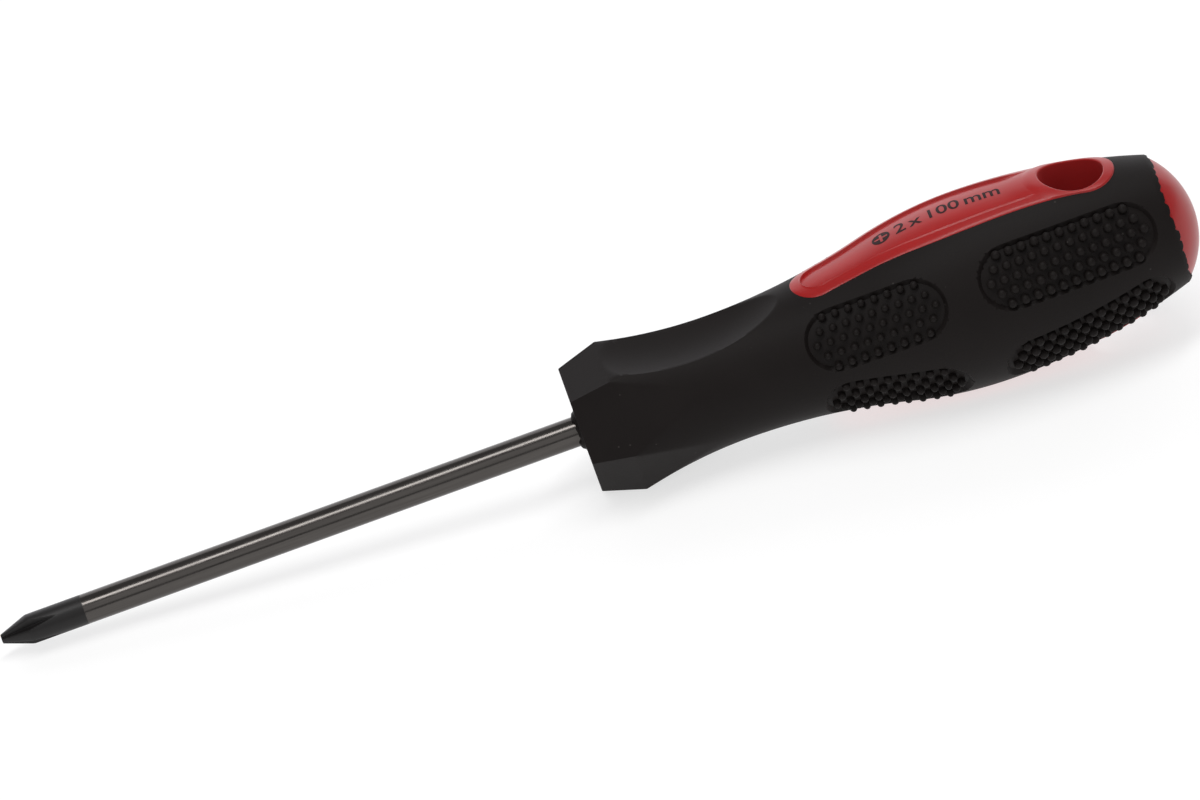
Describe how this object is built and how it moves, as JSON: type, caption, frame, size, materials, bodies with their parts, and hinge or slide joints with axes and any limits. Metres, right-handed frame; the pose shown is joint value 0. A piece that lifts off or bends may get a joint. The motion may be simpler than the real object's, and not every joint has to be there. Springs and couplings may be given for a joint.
{
  "type": "cross-head screwdriver",
  "caption": "Hand screwdriver with a round steel blade, fluted cross point, two-colour moulded grip, finger pads, thumb scoops and a hanging hole.",
  "frame": {"origin": "on the tool's axis, at the handle's flat front face, where the blade leaves the handle", "axes": "-X along the blade towards its point, +X towards the rear dome, +Z through the upper size strip along the hanging hole, +Y across the handle to the right-handed third axis"},
  "size_m": [0.2061, 0.0322, 0.0314],
  "materials": {
    "blade": "polished dark nickel, with the point blackened",
    "core": "smooth red plastic, satin",
    "grip": "soft matt black"
  },
  "bodies": {
    "root": {"blade": "blade", "core": "core", "grip": "grip"}
  },
  "joints": []
}
